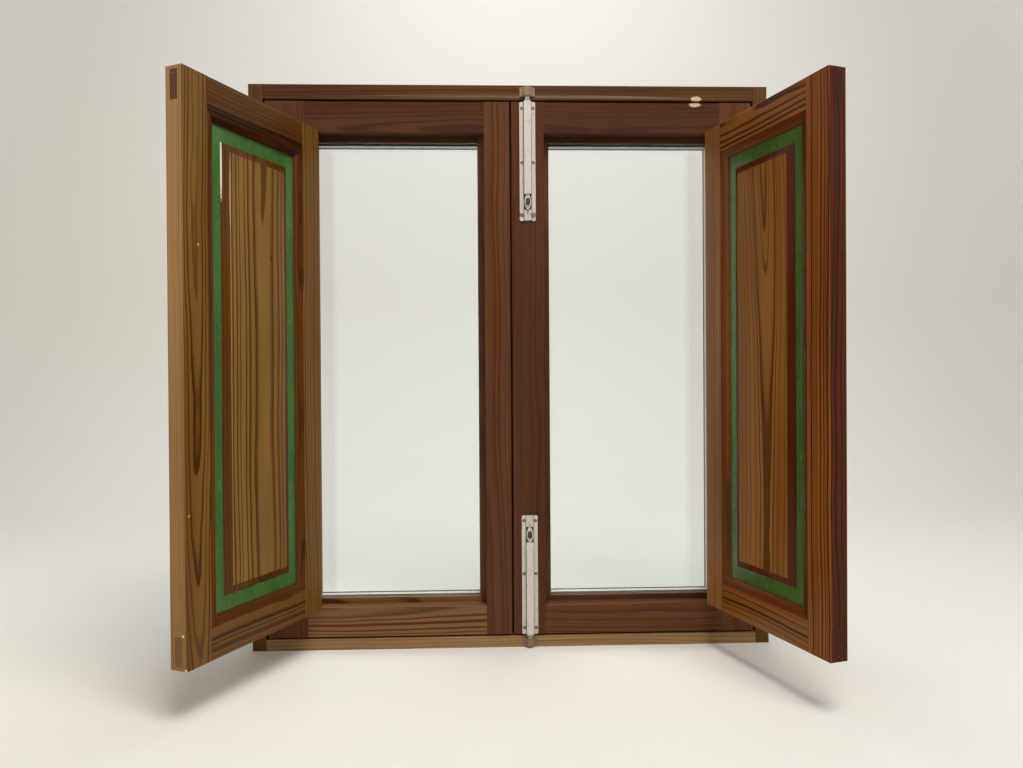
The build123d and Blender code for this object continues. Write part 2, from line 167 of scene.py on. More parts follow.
# how the rings wander, swell and darken; scales are per metre across, through and along the board
ringWays = {
    "drift": 1.2, "driftSeed": 7.31, "tiltBend": 0.12, "noiseSeed": 3.7,
    "slow": (14, 14, 4.5), "slowSwell": 0.0055, "fine": (70, 70, 13), "fineSwell": 0.0017,
    "unevenEach": 0.45, "unevenBy": 1.7, "runEach": 0.21, "runFrom": (0.32, 0.68), "runTo": (0.65, 1.15),
    "lateStart": (0.62, 0.30), "lateFull": 0.86, "lateFade": 0.87, "yearStrength": (0.6, 1.1),
    "thread": (1300, 1300, 16), "cloud": (22, 22, 3.2), "warm": (9, 9, 1.6),
}


def buildGrain():
    # growth rings round a wandering pith: the distance from the pith, swelled by noise and divided by the
    # ring's width, counts the years, and each year ends in dark late wood; Board is metres across, through
    # and along the plank
    ways = ringWays
    kind = "NodeSocketFloat"
    tree, given, out = startGroup(
        "pineGrain",
        [("Board", "NodeSocketVector", None), ("Ring", kind, 0.005), ("PithAcross", kind, 0.0),
         ("PithDeep", kind, 0.04), ("Tilt", kind, 0.0), ("TiltFrom", kind, -9.0), ("Wander", kind, 0.01),
         ("Seed", kind, 0.0)],
        [("Late", kind), ("Fibre", kind), ("Cloud", kind), ("Warm", kind)],
    )
    across, deep, along = split(tree, given["Board"])
    seed = given["Seed"]
    driftPlace = plus(tree, times(tree, along, ways["drift"]), times(tree, seed, ways["driftSeed"]))
    drift = split(tree, lineNoise(tree, driftPlace, 1.6, 0.55).outputs["Color"])
    wide = times(tree, given["Wander"], 2.0)
    driftX = times(tree, minus(tree, drift[0], 0.5), wide)
    driftY = times(tree, minus(tree, drift[1], 0.5), wide)
    x = minus(tree, minus(tree, across, given["PithAcross"]), driftX)
    y = minus(tree, minus(tree, deep, given["PithDeep"]), driftY)
    rise = maths(tree, "SMOOTH_MAX", along, given["TiltFrom"], ways["tiltBend"])
    y = plus(tree, y, times(tree, rise, given["Tilt"]))
    radius = vectorMaths(tree, "LENGTH", join(tree, x, y, 0.0))
    offset = join(tree, seed, times(tree, seed, ways["noiseSeed"]), 0.0)

    def boardNoise(name, detail, rough=0.5):
        place = vectorMaths(tree, "ADD", mapping(tree, given["Board"], scale=ways[name]), offset)
        return noise(tree, place, 1.0, detail, rough).outputs["Fac"]

    swell = times(tree, minus(tree, boardNoise("slow", 2.0), 0.5), ways["slowSwell"])
    ripple = times(tree, minus(tree, boardNoise("fine", 2.0), 0.5), ways["fineSwell"])
    radius = plus(tree, radius, plus(tree, swell, ripple))
    phase = maths(tree, "DIVIDE", radius, given["Ring"])
    uneven = lineNoise(tree, plus(tree, times(tree, phase, ways["unevenEach"]), seed), 1.0)
    phase = plus(tree, phase, times(tree, uneven.outputs["Fac"], ways["unevenBy"]))
    part = maths(tree, "FRACT", phase)
    # each year's dark wood has its own width and strength, and the years go in strong and weak runs
    chance = tree.nodes.new("ShaderNodeTexWhiteNoise")
    chance.noise_dimensions = "1D"
    link(tree, plus(tree, maths(tree, "FLOOR", phase), seed), chance.inputs["W"])
    start = span(tree, chance.outputs["Value"], 0.0, 1.0, *ways["lateStart"], False)
    fade = span(tree, part, ways["lateFade"], 1.0, 1.0, 0.0)
    late = times(tree, span(tree, part, start, ways["lateFull"]), fade)
    run = lineNoise(tree, plus(tree, times(tree, phase, ways["runEach"]), seed), 0.0)
    run = span(tree, run.outputs["Fac"], *ways["runFrom"], *ways["runTo"])
    strength = span(tree, chance.outputs["Value"], 0.0, 1.0, *ways["yearStrength"], False)
    late = times(tree, late, times(tree, strength, run), clamp=True)
    thread = noise(tree, mapping(tree, given["Board"], scale=ways["thread"]), 1.0, 2.5, 0.6)
    link(tree, late, out["Late"])
    link(tree, thread.outputs["Fac"], out["Fibre"])
    link(tree, boardNoise("cloud", 3.0, 0.55), out["Cloud"])
    link(tree, boardNoise("warm", 1.0), out["Warm"])
    return tree


# the raggedness' scale per metre, and where the spot's soft edge begins
spotEdge = {"scale": 420.0, "soft": 0.85}


def buildSpot():
    # 1 inside a ragged spot and 0 outside: the distance from Centre, stretched by Squeeze, against Size
    kind = "NodeSocketFloat"
    tree, given, out = startGroup(
        "raggedSpot",
        [("Place", "NodeSocketVector", None), ("Centre", "NodeSocketVector", None),
         ("Squeeze", "NodeSocketVector", (1, 1, 1)), ("Size", kind, 0.002), ("Ragged", kind, 0.4)],
        [("Mask", kind)],
    )
    away = vectorMaths(tree, "SUBTRACT", given["Place"], given["Centre"])
    far = vectorMaths(tree, "LENGTH", vectorMaths(tree, "MULTIPLY", away, given["Squeeze"]))
    rough = noise(tree, given["Place"], spotEdge["scale"], 2.0, 0.5)
    bend = times(tree, minus(tree, rough.outputs["Fac"], 0.5), given["Ragged"])
    near = plus(tree, maths(tree, "DIVIDE", far, given["Size"]), bend)
    link(tree, span(tree, near, spotEdge["soft"], 1.0, 1.0, 0.0), out["Mask"])
    return tree


grain = buildGrain()
spot = buildSpot()


# sizes of a leaf in metres, as the solids have them
leafSize = {
    "width": 0.2945, "height": 0.7986, "thick": 0.0285, "low": 0.0737, "member": 0.045,
    "stickWide": 0.0144, "stickDeep": 0.0065, "quirk": 0.001, "round": 0.0014,
    "panelDrop": 0.0077, "panelPlay": 0.0001, "groove": 0.010, "proud": 0.00015,
}
# each leaf's pin and hinge edge, the way it runs from there when shut, and how far it stands open at rest
leafPlace = {
    "left": {"pin": (-0.3440, -0.049), "edge": -0.3425, "way": 1, "turn": radians(-114)},
    "right": {"pin": (0.3553, -0.049), "edge": 0.3538, "way": -1, "turn": radians(107)},
}


def placeLeaf(points, hand):
    # points are metres from the hinge edge, from the front face and up; they are set in the frame and
    # turned about the pin
    place = leafPlace[hand]
    x = place["edge"] + place["way"] * points[:, 0] - place["pin"][0]
    y = points[:, 1]
    c, s = cos(place["turn"]), sin(place["turn"])
    return np.stack([place["pin"][0] + c * x - s * y, place["pin"][1] + s * x + c * y,
                     leafSize["low"] + points[:, 2]], axis=1)


def leafSpace(tree, hand):
    # object coordinates turned back to the shut leaf and measured from its pin, and the node they come from
    coords = tree.nodes.new("ShaderNodeTexCoord")
    place = leafPlace[hand]
    pin = (place["pin"][0], place["pin"][1], leafSize["low"])
    return mapping(tree, coords.outputs["Object"], "TEXTURE", pin, (0, 0, place["turn"])), coords


def addSpots(tree, colour, place, spots):
    # each spot lies at a place in metres, as wide as its size over its squeeze
    for given in spots:
        mask = useGroup(tree, spot, Place=place, Centre=given["at"], Squeeze=given.get("squeeze", (1, 1, 1)),
                        Size=given["size"], Ragged=given.get("ragged", 0.5))["Mask"]
        mask = times(tree, mask, given.get("strength", 1.0))
        colour = mixColour(tree, mask, colour, sRgb(*given["colour"]))
    return colour


def setSockets(shader, values):
    # plain values on the shader's own sockets
    for name, value in values.items():
        shader.inputs[name].default_value = value


def addBump(tree, shader, height, strength, depth):
    bump = tree.nodes.new("ShaderNodeBump")
    bump.inputs["Strength"].default_value = strength
    bump.inputs["Distance"].default_value = depth
    link(tree, height, bump.inputs["Height"])
    link(tree, bump.outputs[0], shader.inputs["Normal"])


def blendShaders(tree, factor, first, second, end):
    # the first shader where factor is 0 and the second where it is 1
    mixer = tree.nodes.new("ShaderNodeMixShader")
    link(tree, factor, mixer.inputs[0])
    link(tree, first.outputs[0], mixer.inputs[1])
    link(tree, second.outputs[0], mixer.inputs[2])
    link(tree, mixer.outputs[0], tree.nodes[end].inputs["Surface"])


def newMaterial(name):
    material = bpy.data.materials.new(name)
    material.use_nodes = True
    tree = material.node_tree
    return material, tree, tree.nodes["Principled BSDF"]


# early wood, dark late wood, and the deeper early wood of warm patches, as shown 0..255 colours
tones = {
    "leafLeft": {"early": (128, 90, 38), "late": (70, 38, 6), "deep": (108, 70, 24)},
    # leafRight and freeRight are darker and redder than the left leaf's wood: painted shade, the same wood
    # standing in less light
    "leafRight": {"early": (132, 82, 32), "late": (60, 24, 4), "deep": (104, 58, 18)},
    "panelLeft": {"early": (138, 102, 52), "late": (88, 58, 20), "deep": (122, 86, 38)},
    "panelRight": {"early": (144, 96, 38), "late": (84, 48, 10), "deep": (122, 76, 24)},
    "freeRight": {"early": (140, 82, 28), "late": (72, 30, 5), "deep": (112, 60, 16)},
    # topLeft is darker than the rest of the left leaf: painted shade on its top rail
    "topLeft": {"early": (110, 66, 16), "late": (44, 18, 0), "deep": (88, 48, 8)},
    "sash": {"early": (96, 58, 32), "late": (58, 27, 13), "deep": (80, 44, 23)},
    # sashFoot is paler: painted light on the left sash's foot, thrown up from below
    "sashFoot": {"early": (126, 90, 54), "late": (78, 46, 22), "deep": (106, 72, 38)},
    # hingeRight is paler and greyer: a painted sheen of light grazing the right hinge stile
    "hingeRight": {"early": (144, 98, 54), "late": (86, 48, 20), "deep": (120, 78, 38)},
    "frame": {"early": (104, 70, 34), "late": (58, 30, 8), "deep": (84, 50, 20)},
    # sill is paler: painted light thrown up on to the sill
    "sill": {"early": (156, 126, 86), "late": (108, 78, 46), "deep": (136, 104, 66)},
}


# how the varnished wood takes its stain, dirt and gloss, with painted shade on its mouldings and painted light on
# one edge
varnish = {
    "warmFrom": (0.35, 0.7), "cloudFrom": (0.25, 0.75), "cloudTo": (0.86, 1.10),
    "fibreFrom": (0.2, 0.8), "fibreTo": (0.90, 1.08), "mouldLate": 0.7,
    # the next four values paint the left leaf's free edge paler and greyer: painted light
    "wornLate": 0.8, "wornLift": 1.6, "wornMix": 0.30, "worn": (138, 122, 96),
    "endFrom": (0.75, 0.9), "endShade": 0.55, "endMix": 0.55, "endRough": 0.3,
    "roughFrom": (0.3, 0.7), "smoother": 0.05, "rougher": 0.10,
    "ringBump": 0.55, "fibreBump": 0.45, "bump": (0.22, 0.00025),
    "sockets": {"Specular IOR Level": 0.10, "Coat Weight": 0.07, "Coat Roughness": 0.16},
}


def wood(name, tone, lie="z", hand=None, centre=(0, 0, 0), pith=(0.0, 0.04), ring=0.0055, tilt=0.0,
         tiltFrom=-9.0, wander=0.01, seed=1.0, contrast=1.0, gloss=0.36, shade=1.0,
         stainAndShadingColour=(0.55, 0.36, 0.22, 1), spots=()):
    # varnished pine with its grain along lie: early wood, late wood, stain with painted shade and light, clouds,
    # a painted shade factor, dark ends and spots
    own = varnish
    material, tree, shader = newMaterial(name)
    if hand:
        place, coords = leafSpace(tree, hand)
    else:
        coords = tree.nodes.new("ShaderNodeTexCoord")
        place = coords.outputs["Object"]
    board = mapping(tree, place, location=[-c for c in centre])
    if lie == "x":
        x, y, z = split(tree, board)
        board = join(tree, z, y, x)
    rings = useGroup(tree, grain, Board=board, Ring=ring, PithAcross=pith[0], PithDeep=pith[1], Tilt=tilt,
                     TiltFrom=tiltFrom, Wander=wander, Seed=seed)
    shades = tones[tone]
    base = mixColour(tree, span(tree, rings["Warm"], *own["warmFrom"]), sRgb(*shades["early"]),
                     sRgb(*shades["deep"]))
    # stain lies thicker on the moulded edges and painted shade darkens them, where a face's value is 1; where it
    # is -1 an edge is painted paler, as painted light
    attribute = tree.nodes.new("ShaderNodeAttribute")
    attribute.attribute_name = "stain"
    stain = attribute.outputs["Fac"]
    late = times(tree, rings["Late"], contrast, clamp=True)
    late = times(tree, late, span(tree, stain, -1.0, 0.0, own["wornLate"], 1.0, False))
    late = times(tree, late, span(tree, stain, 0.0, 1.0, 1.0, own["mouldLate"], False))
    colour = mixColour(tree, late, base, sRgb(*shades["late"]))
    colour = mixColour(tree, stain, colour, mixColour(tree, 1.0, colour, stainAndShadingColour, "MULTIPLY"))
    # shade scales the whole board's brightness: painted shade on a board that stands in less light
    lift = times(tree, span(tree, rings["Cloud"], *own["cloudFrom"], *own["cloudTo"]), shade)
    lift = times(tree, lift, span(tree, stain, -1.0, 0.0, own["wornLift"], 1.0, False))
    lift = times(tree, lift, span(tree, rings["Fibre"], *own["fibreFrom"], *own["fibreTo"]))
    colour = mixColour(tree, 1.0, colour, join(tree, lift, lift, lift), "MULTIPLY")
    # painted light: the left free edge goes over to a pale colour
    litEdge = span(tree, stain, -1.0, 0.0, own["wornMix"], 0.0, False)
    colour = mixColour(tree, litEdge, colour, sRgb(*own["worn"]))
    # end grain drinks the varnish and goes dark
    facing = coords.outputs["Normal"]
    if hand:
        turned = tree.nodes.new("ShaderNodeVectorRotate")
        turned.rotation_type = "Z_AXIS"
        link(tree, facing, turned.inputs["Vector"])
        turned.inputs["Angle"].default_value = -leafPlace[hand]["turn"]
        facing = turned.outputs[0]
    ends = maths(tree, "ABSOLUTE", split(tree, facing)[0 if lie == "x" else 2])
    ends = span(tree, ends, *own["endFrom"])
    endColour = sRgb(*[v * own["endShade"] for v in shades["late"]])
    colour = mixColour(tree, times(tree, ends, own["endMix"]), colour, endColour)
    link(tree, addSpots(tree, colour, place, spots), shader.inputs["Base Color"])
    roughness = span(tree, rings["Cloud"], *own["roughFrom"], gloss - own["smoother"], gloss + own["rougher"])
    roughness = plus(tree, roughness, times(tree, ends, own["endRough"]))
    link(tree, roughness, shader.inputs["Roughness"])
    setSockets(shader, own["sockets"])
    height = plus(tree, times(tree, rings["Late"], own["ringBump"]),
                  times(tree, rings["Fibre"], own["fibreBump"]))
    addBump(tree, shader, height, *own["bump"])
    return material


# the painted band: brush strokes along it, pale and dark patches, and pits where the paint is gone
bandPaint = {
    "strokes": (420, 420, 60), "patches": (30, 30, 9), "pits": (520, 520, 520), "flecks": (11, 11, 11),
    "patchFrom": (0.3, 0.7), "pitFrom": (0.66, 0.69), "fleckFrom": (0.60, 0.66), "pit": (38, 52, 22),
    "roughFrom": (0.3, 0.7), "roughTo": (0.22, 0.28), "bump": (0.12, 0.0001),
    "sockets": {"Specular IOR Level": 0.35, "Coat Weight": 0.2, "Coat Roughness": 0.12},
}


def paint(name, hand, colour, shade):
    # gloss oil paint laid by brush, pitted in a few places
    material, tree, shader = newMaterial(name)
    place = leafSpace(tree, hand)[0]

    def patchy(kind, detail, rough=0.5):
        return noise(tree, mapping(tree, place, scale=bandPaint[kind]), 1.0, detail, rough).outputs["Fac"]

    strokes = patchy("strokes", 2.0, 0.6)
    patches = span(tree, patchy("patches", 2.0), *bandPaint["patchFrom"])
    pits = span(tree, patchy("pits", 1.0), *bandPaint["pitFrom"])
    flecks = span(tree, patchy("flecks", 0.0), *bandPaint["fleckFrom"])
    tint = mixColour(tree, patches, sRgb(*colour), sRgb(*shade))
    tint = mixColour(tree, times(tree, pits, flecks), tint, sRgb(*bandPaint["pit"]))
    link(tree, tint, shader.inputs["Base Color"])
    roughness = span(tree, strokes, *bandPaint["roughFrom"], *bandPaint["roughTo"])
    link(tree, roughness, shader.inputs["Roughness"])
    setSockets(shader, bandPaint["sockets"])
    addBump(tree, shader, strokes, *bandPaint["bump"])
    return material


# sawn end grain: the rings' slope in depth and height, their sway and spacing in metres, and the pores
endGrain = {
    "slope": (0.86, 0.5), "sway": 0.006, "swayScale": (90, 90, 90), "ring": 0.0031,
    "paleFrom": (0.35, 0.8), "paleTo": (0.9, 1.0),
    "poreScale": (1800, 1800, 1800), "poreFrom": (0.45, 0.7), "poreMix": 0.7, "poreShade": 0.5,
    "sockets": {"Roughness": 0.7, "Specular IOR Level": 0.2},
}


def tenonEnd(name, hand, light, dark):
    # the through tenons' ends: ring lines on a slant, swayed by noise, with fine dark pores
    material, tree, shader = newMaterial(name)
    place = leafSpace(tree, hand)[0]
    axes = split(tree, place)
    slant = plus(tree, times(tree, axes[1], endGrain["slope"][0]), times(tree, axes[2], endGrain["slope"][1]))
    sway = noise(tree, mapping(tree, place, scale=endGrain["swayScale"]), 1.0, 1.0, 0.5)
    slant = plus(tree, slant, times(tree, sway.outputs["Fac"], endGrain["sway"]))
    arcs = maths(tree, "FRACT", maths(tree, "DIVIDE", slant, endGrain["ring"]))
    arcs = times(tree, span(tree, arcs, *endGrain["paleFrom"]), span(tree, arcs, *endGrain["paleTo"], 1.0, 0.0))
    pores = noise(tree, mapping(tree, place, scale=endGrain["poreScale"]), 1.0, 2.0, 0.6)
    pores = span(tree, pores.outputs["Fac"], *endGrain["poreFrom"], 0.0, endGrain["poreMix"])
    poreColour = sRgb(*[v * endGrain["poreShade"] for v in dark])
    tint = mixColour(tree, arcs, sRgb(*dark), sRgb(*light))
    link(tree, mixColour(tree, pores, tint, poreColour), shader.inputs["Base Color"])
    setSockets(shader, endGrain["sockets"])
    return material


# dirt on the metal: the scale of its smears and grit per metre, where smears begin and are full; and a dark
# line along a housing, in metres
metalDirt = {
    "smear": (180, 180, 90), "smearFrom": (0.48, 0.78), "grit": (1500, 1500, 1500), "bump": (0.15, 0.0001),
    "line": (0.0003, 0.0010), "lineOff": 0.0005, "lineMix": 0.85,
    "roughFrom": (0.3, 0.7), "smoother": 0.06, "rougher": 0.14, "coatRough": 0.15,
}


def metal(name, colour, dirt, rough=0.4, metallic=0.0, coat=0.0, grime=0.5, housing=None, spots=()):
    # enamel or bare metal, with grime that gathers in patches, and a dark line along both sides of a housing
    material, tree, shader = newMaterial(name)
    coords = tree.nodes.new("ShaderNodeTexCoord").outputs["Object"]
    smear = noise(tree, mapping(tree, coords, scale=metalDirt["smear"]), 1.0, 3.0, 0.6).outputs["Fac"]
    grit = noise(tree, mapping(tree, coords, scale=metalDirt["grit"]), 1.0, 2.0, 0.5).outputs["Fac"]
    mask = span(tree, smear, *metalDirt["smearFrom"], 0.0, grime)
    if housing:
        beside = maths(tree, "ABSOLUTE", minus(tree, split(tree, coords)[0], housing["middle"]))
        line = minus(tree, beside, housing["half"] + metalDirt["lineOff"])
        line = span(tree, maths(tree, "ABSOLUTE", line), *metalDirt["line"], metalDirt["lineMix"], 0.0)
        mask = maths(tree, "MAXIMUM", mask, line)
    tint = addSpots(tree, mixColour(tree, mask, sRgb(*colour), sRgb(*dirt)), coords, spots)
    link(tree, tint, shader.inputs["Base Color"])
    roughness = span(tree, smear, *metalDirt["roughFrom"], rough - metalDirt["smoother"],
                     rough + metalDirt["rougher"])
    link(tree, roughness, shader.inputs["Roughness"])
    setSockets(shader, {"Metallic": metallic, "Coat Weight": coat, "Coat Roughness": metalDirt["coatRough"]})
    addBump(tree, shader, grit, *metalDirt["bump"])
    return material


# clear glass with a faint green
paneGlass = {"Base Color": (0.975, 0.99, 0.985, 1), "Roughness": 0.0, "IOR": 1.45, "Transmission Weight": 1.0}


def clearGlass(name):
    # a shadow ray passes straight through, so the light reaches what stands behind
    material, tree, shader = newMaterial(name)
    setSockets(shader, paneGlass)
    path = tree.nodes.new("ShaderNodeLightPath")
    through = tree.nodes.new("ShaderNodeBsdfTransparent")
    blendShaders(tree, path.outputs["Is Shadow Ray"], shader, through, "Material Output")
    return material


# rounded arrises: how far an edge turns, on the made boards and on CAD pieces, what counts as flat there,
# how near to the grain an edge runs, and the share of the width that edges across the grain get
arris = {"segments": 2, "madeTurn": radians(50), "cadTurn": radians(40), "flat": radians(0.5), "along": 0.9,
         "acrossShare": 0.2, "sharpOver": 32}


def shadeSmooth(mesh, sharpOver):
    # smooth all over, but sharp where faces meet at more than so many degrees
    mesh.polygons.foreach_set("use_smooth", np.ones(len(mesh.polygons), dtype=bool))
    mesh.update()
    mesh.set_sharp_from_angle(angle=radians(sharpOver))


def enterPiece(name, mesh, body, slotName, replaced, width, **rounding):
    # a finished mesh stands for its CAD nodes, with its arrises rounded by width
    piece = bpy.data.objects.new(name, mesh)
    bpy.context.collection.objects.link(piece)
    if width:
        rounder = piece.modifiers.new("arris", "BEVEL")
        rounder.width = width
        rounder.segments = arris["segments"]
        for setting, value in rounding.items():
            setattr(rounder, setting, value)
    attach(piece, body)
    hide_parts(*replaced)


def makePiece(name, points, faces, body, slotName, materials, replaced, stain, faceSlots=None, width=None):
    mesh = bpy.data.meshes.new(name)
    mesh.from_pydata(points.tolist(), [], faces)
    for material in materials:
        mesh.materials.append(material)
    if faceSlots is not None:
        mesh.polygons.foreach_set("material_index", np.asarray(faceSlots, dtype=np.int32))
    mesh.attributes.new("stain", "FLOAT", "FACE").data.foreach_set("value", np.asarray(stain, dtype=np.float32))
    shadeSmooth(mesh, arris["sharpOver"])
    enterPiece(name, mesh, body, slotName, replaced, width, limit_method="ANGLE", angle_limit=arris["madeTurn"])


def roundArrises(node, body, slotName, material, width, along=None, least=0.02, sharpOver=arris["sharpOver"]):
    # a copy of a CAD piece with its arrises rounded: each flat side is made one face again, and an edge
    # longer than least is rounded by width, or by a share of it where it runs across the grain
    shape = bmesh.new()
    shape.from_mesh(nodes[node].data)
    bmesh.ops.remove_doubles(shape, verts=shape.verts, dist=1e-6)
    bmesh.ops.dissolve_limit(shape, angle_limit=arris["flat"], verts=shape.verts, edges=shape.edges)
    shape.normal_update()
    weights = shape.edges.layers.float.new("bevel_weight_edge")
    for edge in shape.edges:
        turned = len(edge.link_faces) == 2 and edge.calc_face_angle(0.0) > arris["cadTurn"]
        if turned and edge.calc_length() > least:
            run = (edge.verts[1].co - edge.verts[0].co).normalized()
            withGrain = along is None or abs(run["xyz".index(along)]) > arris["along"]
            edge[weights] = 1.0 if withGrain else arris["acrossShare"]
    name = pieceName(node)
    mesh = bpy.data.meshes.new(name)
    shape.to_mesh(mesh)
    shape.free()
    mesh.materials.clear()
    mesh.materials.append(material)
    mesh.polygons.foreach_set("material_index", np.zeros(len(mesh.polygons), dtype=np.int32))
    shadeSmooth(mesh, sharpOver)
    enterPiece(name, mesh, body, slotName, [node], width, limit_method="WEIGHT", harden_normals=True)


def pieceName(node):
    # frame_head becomes FrameHead
    return node.title().replace("_", "")


def turnedOver(faces):
    # the same faces looking the other way
    return [face[::-1] for face in faces]


def ringQuads(rings, count):
    # quads between each ring of count points and the next
    ring = np.arange(rings - 1)[:, None] * count
    step = np.arange(count)[None, :]
    after = (step + 1) % count
    quads = np.stack([ring + step, ring + after, ring + count + after, ring + count + step], axis=2)
    return quads.reshape(-1, 4).tolist()


def carry(rings, flip):
    # one closed outline carried along stations: quads from each ring of points to the next, and two ends
    rows, count = rings.shape[:2]
    faces = ringQuads(rows, count) + [list(range(count))[::-1], list(range((rows - 1) * count, rows * count))]
    return rings.reshape(-1, 3), turnedOver(faces) if flip else faces


def merge(*parts):
    # several (points, faces) pairs as one
    points, faces, start = [], [], 0
    for somePoints, someFaces in parts:
        points.append(somePoints)
        faces += [[start + i for i in face] for face in someFaces]
        start += len(somePoints)
    return np.concatenate(points), faces


def slab(low, high):
    # a block from its lowest and highest corner
    corners = [[x, y, z] for z in (low[2], high[2]) for y in (low[1], high[1]) for x in (low[0], high[0])]
    faces = [[0, 2, 3, 1], [4, 5, 7, 6], [0, 1, 5, 4], [2, 6, 7, 3], [0, 4, 6, 2], [1, 3, 7, 5]]
    return np.array(corners), faces


# the shut hinge barrels' room in the hinge stiles: where its middle lies from each end, half its length,
# its radius and how far its middle lies outside the leaf
hingeRoom = {"fromEnd": 0.110, "half": 0.041, "radius": 0.005, "off": 0.0015}
arcPoints = {"arris": 5, "ovolo": 11, "groove": 4}


def memberOutline(notch=False):
    # across from the outer edge and down from the front face: rounded arris or the barrel's room, quirk,
    # quarter-round ovolo, groove for the panel, and the same mirrored about the middle of the thickness
    size = leafSize
    turn = np.linspace(0, pi / 2, arcPoints["arris"])
    r = size["round"]
    if notch:
        reach, off = hingeRoom["radius"], hingeRoom["off"]
        angle = np.linspace(np.arcsin(np.sqrt(reach**2 - off**2) / reach), 0.0, arcPoints["arris"])
        corner = np.stack([reach * np.cos(angle) - off, reach * np.sin(angle)], axis=1)
    else:
        corner = np.stack([r - r * np.cos(turn), r - r * np.sin(turn)], axis=1)
    back = np.stack([r - r * np.cos(turn), size["thick"] - r + r * np.sin(turn)], axis=1)[::-1]
    bend = np.linspace(0, pi / 2, arcPoints["ovolo"])
    drop = size["stickDeep"] - size["quirk"]
    ovolo = np.stack([size["member"] + size["stickWide"] * np.sin(bend),
                      size["quirk"] + drop * (1 - np.cos(bend))], axis=1)
    inner = size["member"] + size["stickWide"]
    front = np.concatenate([[(size["member"], 0.0)], ovolo])
    mirrored = front[::-1] * (1, -1) + (0, size["thick"])
    rim = inner - size["groove"]
    low = size["panelDrop"] - size["panelPlay"]
    high = size["thick"] - low
    groove = np.array([(inner, low), (rim, low), (rim, high), (inner, high)])
    return np.concatenate([corner, front, groove, mirrored, back])


def mouldStainAndShading(runs):
    # 1 on both ovolos of an outline, for their stain and painted shade, and 0 on its other points, once for each
    # run from ring to ring
    mould = np.ones(arcPoints["ovolo"])
    one = np.concatenate([np.zeros(arcPoints["arris"]), mould, np.zeros(1 + arcPoints["groove"]), mould,
                          np.zeros(1 + arcPoints["arris"])])
    return np.tile(one, runs)


# the free stile's outer edge is planed back so that the tenons' ends show; on the left leaf the edge is painted
# paler as painted light, and on the right it is painted darker and redder as painted shade
stileCut = {"planed": 0.0004, "round": 0.0005, "edgeStain": {"left": -0.9, "right": 1.0}}


def makeStile(hand, which, material):
    # the member's outline carried from foot to head, with the barrels' room cut in steps in a hinge stile
    size = leafSize
    plain = memberOutline()
    # the rails stand a hair proud of the stiles' ends
    foot, head = size["proud"], size["height"] - size["proud"]
    heights, outlines = [foot, head], [plain, plain]
    if which == "hinge":
        notched = memberOutline(True)
        heights, outlines = [foot], [plain]
        for middle in (hingeRoom["fromEnd"], size["height"] - hingeRoom["fromEnd"]):
            low, high = middle - hingeRoom["half"], middle + hingeRoom["half"]
            heights += [low, low, high, high]
            outlines += [plain, notched, notched, plain]
        heights.append(head)
        outlines.append(plain)
    outlines = np.array(outlines)
    stain = np.append(mouldStainAndShading(len(heights) - 1), [0, 0])
    if which == "free":
        outlines[:, :, 0] = np.maximum(outlines[:, :, 0], stileCut["planed"])
        outlines = outlines * (-1, 1) + (size["width"], 0)
        # the outer edge's painted light on the left leaf and painted shade on the right
        stain[-3] = stileCut["edgeStain"][hand]
    stations = np.repeat(np.array(heights)[:, None, None], plain.shape[0], axis=1)
    points, faces = carry(np.concatenate([outlines, stations], axis=2), (which == "free") != (hand == "left"))
    makePiece(hand + which.capitalize() + "Stile", placeLeaf(points, hand), faces, hand + "_shutter",
              "shutter_pine", [material], ["shutter_%s_%s_stile" % (hand, which)], stain, width=stileCut["round"])


# through tenons: thickness, setback from the rail's edge, the depth that is made, where the wedge's split
# line runs and half its width, how far the ends stop short of the leaf's two edges, and the rail's arris
tenonCut = {"thick": 0.0125, "haunch": 0.005, "deep": 0.04, "wedge": 0.010, "split": 0.0002,
            "hingeShort": 0.0004, "freeShort": 0.0001, "round": 0.0004}


def makeRail(hand, which, materials):
    # the member's outline, in height and depth, carried across; its ends are scribed over the stiles'
    # moulding, and each tenon is two blocks with the wedge's line between them
    size, cut = leafSize, tenonCut
    plain = memberOutline()
    reach = np.clip(plain[:, 0], size["member"], None)
    outline = plain * (-1, 1) + (size["height"], 0) if which == "top" else plain
    ends = [np.stack([end, outline[:, 1], outline[:, 0]], axis=1) for end in (reach, size["width"] - reach)]
    points, faces = carry(np.stack(ends), (which == "top") == (hand == "left"))
    middle, half = size["thick"] / 2, cut["thick"] / 2
    reaches = ((cut["hingeShort"], cut["deep"]), (size["width"] - cut["deep"], size["width"] - cut["freeShort"]))
    halves = ((cut["haunch"], cut["wedge"] - cut["split"]), (cut["wedge"] + cut["split"], size["member"]))
    parts = []
    for start, stop in reaches:
        for low, high in halves:
            z = (low, high) if which == "bottom" else (size["height"] - high, size["height"] - low)
            block, sides = slab((start, middle - half, z[0]), (stop, middle + half, z[1]))
            parts.append((block, turnedOver(sides) if hand == "right" else sides))
    points, faces = merge((points, faces), *parts)
    stain = np.concatenate([mouldStainAndShading(1), np.zeros(2 + 6 * len(parts))])
    slots = np.concatenate([np.zeros(len(stain) - 6 * len(parts)), np.ones(6 * len(parts))])
    makePiece(hand + which.capitalize() + "Rail", placeLeaf(points, hand), faces, hand + "_shutter",
              "shutter_pine", materials, ["shutter_%s_%s_rail" % (hand, which)], stain, slots, cut["round"])


# the panel's face: the painted band's width at the sides and ends, the bevel's width and rise, the fine step
# at its foot and head, how far the panel stops short of the groove's floor, and the stain and painted shade from
# ring to ring
panelCut = {"bandSide": 0.017, "bandEnd": 0.021, "wide": 0.0125, "rise": 0.006, "step": 0.0006, "slack": 0.001,
            "stain": (0.4, 1, 1, 1, 1, 0.4, 0)}


